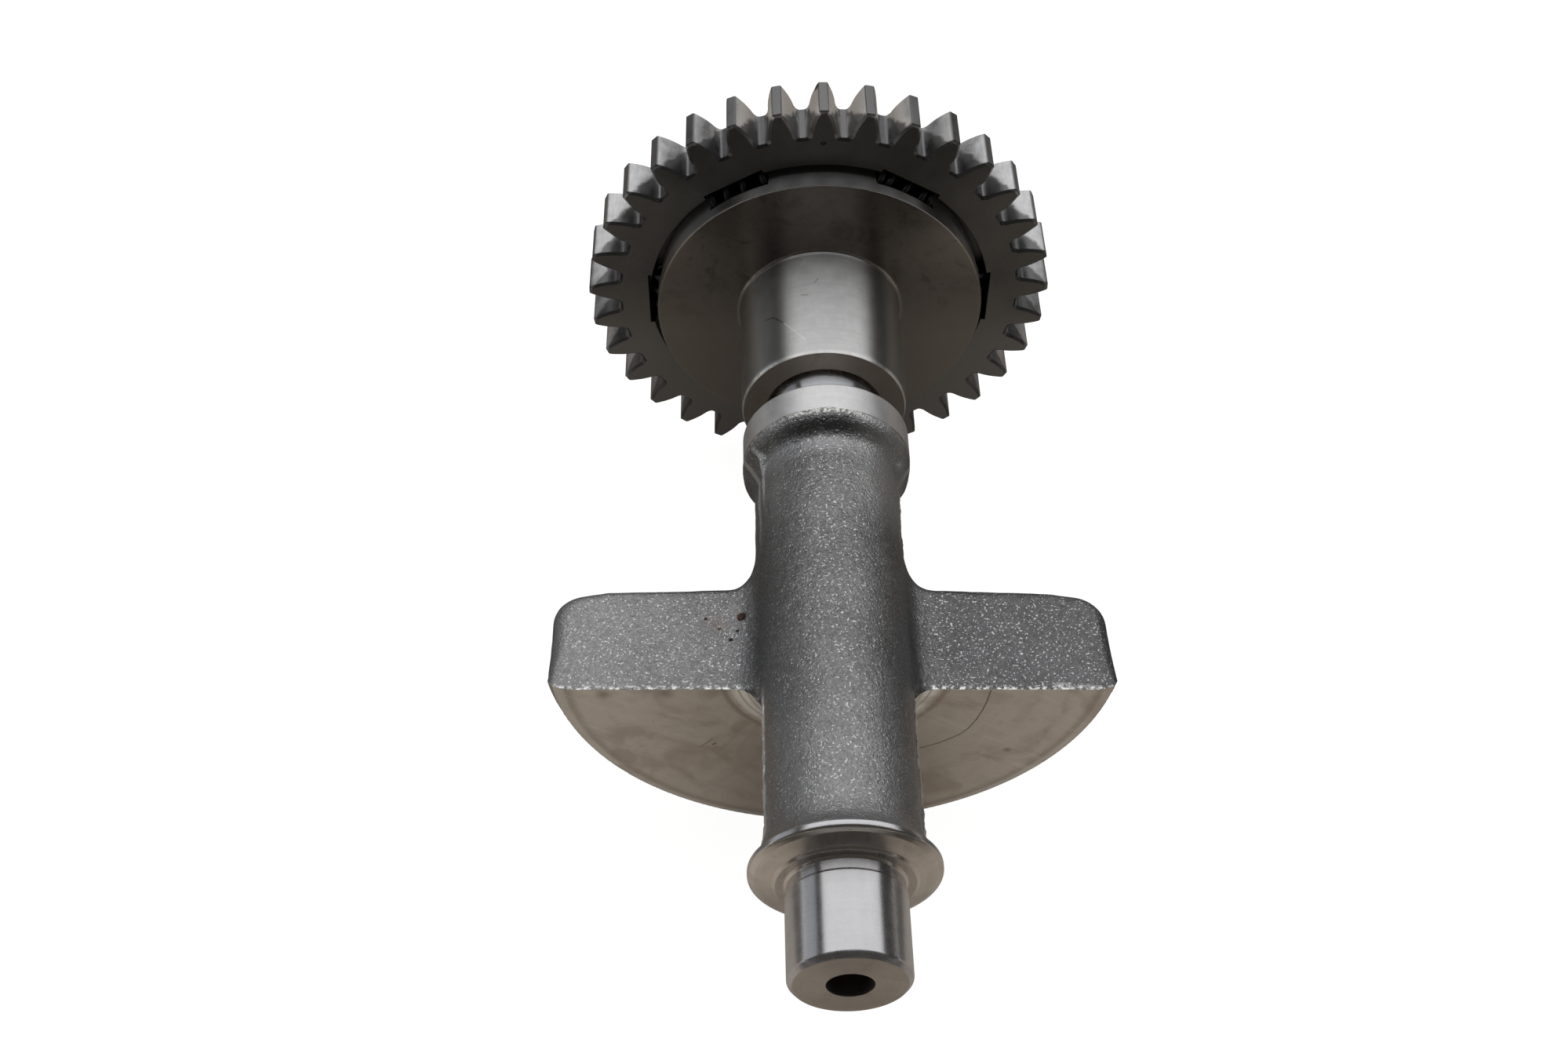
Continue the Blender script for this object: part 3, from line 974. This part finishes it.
def pale():
    m = Mat("floor_pale")
    n = m.noise(0.02, 2.0, 0.5)
    col = m.ramp(n, [(0.3, (0.215, 0.215, 0.213)), (0.7, (0.22, 0.22, 0.218))])
    return m.set(Base_Color=col, Roughness=0.9, Emission_Color=(1.0, 1.0, 0.997), Emission_Strength=0.96)


def brown():
    """What the bright metal mirrors below: a brown table, lit in front, in shade between counterweight and gear."""
    m = Mat("card_brown")
    n = m.noise(0.02, 2.0, 0.5)
    col = m.ramp(n, [(0.3, (0.345, 0.312, 0.278)), (0.7, (0.365, 0.33, 0.294))])
    glow = m.math("MULTIPLY", m.span(m.y, -22.0, 10.0, 1.0, 0.26, smooth=True), m.span(m.y, -250.0, -100.0, 0.08, 1.0))
    glow = m.math("MAXIMUM", glow, m.span(m.y, 105.0, 160.0, 0.0, 0.6, smooth=True))
    side = m.span(m.math("ABSOLUTE", m.x), 10.0, 45.0, 0.62, 1.0, smooth=True)
    left = m.math("MULTIPLY", m.span(m.x, 0.0, -40.0, 0.0, 0.35), m.span(m.y, -55.0, -90.0))
    return m.set(Base_Color=(0.03, 0.027, 0.024), Roughness=0.9, Emission_Color=col,
                 Emission_Strength=m.math("MULTIPLY", glow, m.math("ADD", side, left)))


floor = sheet("floor", 8.0, 0.0)
floor.data.materials.append(pale())
card = sheet("brown_card", 2.4, 0.05)
card.data.materials.append(brown())
card.visible_camera = False
card.visible_diffuse = False
card.visible_shadow = False
card.visible_transmission = False


def softbox(name, at, to, w, h, radiance, color=(1, 1, 1)):
    li = bpy.data.lights.new(name, "AREA")
    li.shape, li.size, li.size_y = "RECTANGLE", w, h
    li.energy = radiance * math.pi * w * h
    li.color = color
    ob = link(bpy.data.objects.new(name, li))
    ob.location = at
    d = Vector(to) - Vector(at)
    ob.rotation_euler = d.to_track_quat("-Z", "Y").to_euler()
    ob.visible_camera = False
    return ob


softbox("overhead", (0.165, 0.53, 0.62), (0.165, 0.5300001, 0.0), 1.77, 0.94, 1.25)
softbox("left_fill", (-0.9, 0.3, 0.22), (0.0, 0.3, 0.22), 0.8, 0.55, 0.5, (0.9, 0.95, 1.0))
softbox("rear_fill", (0.0, 1.35, 0.26), (0.0, 0.0, 0.0), 1.5, 0.36, 0.9)

world = bpy.data.worlds.new("studio")
SC.world = world
world.use_nodes = True
wt = world.node_tree
wt.nodes.clear()
out = wt.nodes.new("ShaderNodeOutputWorld")
bg = wt.nodes.new("ShaderNodeBackground")
wt.links.new(bg.outputs[0], out.inputs[0])
tc = wt.nodes.new("ShaderNodeTexCoord")
dot = wt.nodes.new("ShaderNodeVectorMath")
dot.operation = "DOT_PRODUCT"
dot.inputs[1].default_value = (-0.12, 0.62, 0.77)
wt.links.new(tc.outputs["Generated"], dot.inputs[0])
ramp = wt.nodes.new("ShaderNodeValToRGB")
wt.links.new(dot.outputs["Value"], ramp.inputs[0])
e = ramp.color_ramp.elements
e[0].position, e[0].color = 0.0, (0.065, 0.062, 0.058, 1)
e[1].position, e[1].color = 1.0, (0.08, 0.08, 0.081, 1)
k = e.new(0.45)
k.color = (0.06, 0.058, 0.056, 1)
wt.links.new(ramp.outputs[0], bg.inputs[0])
# the room behind the floor is as pale as the floor
pale_bg = wt.nodes.new("ShaderNodeBackground")
pale_bg.inputs[0].default_value = (1.0, 1.0, 0.997, 1)
path = wt.nodes.new("ShaderNodeLightPath")
both = wt.nodes.new("ShaderNodeMixShader")
wt.links.new(path.outputs["Is Camera Ray"], both.inputs[0])
wt.links.new(bg.outputs[0], both.inputs[1])
wt.links.new(pale_bg.outputs[0], both.inputs[2])
wt.links.new(both.outputs[0], out.inputs[0])

SC.view_settings.view_transform = "Standard"
SC.view_settings.look = "None"

cam_data = bpy.data.cameras.new("camera")
cam = link(bpy.data.objects.new("camera", cam_data))
pitch, yaw, roll = 0.8735805, 0.0536234, 0.0441932
cp, sp_, cy, sy, cr, sr = math.cos(pitch), math.sin(pitch), math.cos(yaw), math.sin(yaw), math.cos(roll), math.sin(roll)
fwd = Vector((sy * cp, cy * cp, -sp_))
right = Vector((cy * cr + sy * sp_ * sr, -sy * cr + cy * sp_ * sr, cp * sr))
up = Vector((-cy * sr + sy * sp_ * cr, sy * sr + cy * sp_ * cr, cp * cr))
mat = Matrix((right, up, -fwd)).transposed().to_4x4()
mat.translation = Vector((-20.4238, -129.3876 - FRONT, 266.2568)) / 1000.0
cam.matrix_world = mat
cam_data.sensor_fit = "HORIZONTAL"
cam_data.sensor_width = 36.0
cam_data.lens = 2369.0606 / 1999.0 * 36.0
cam_data.clip_start, cam_data.clip_end = 0.01, 20.0
SC.camera = cam

bpy.context.view_layer.update()
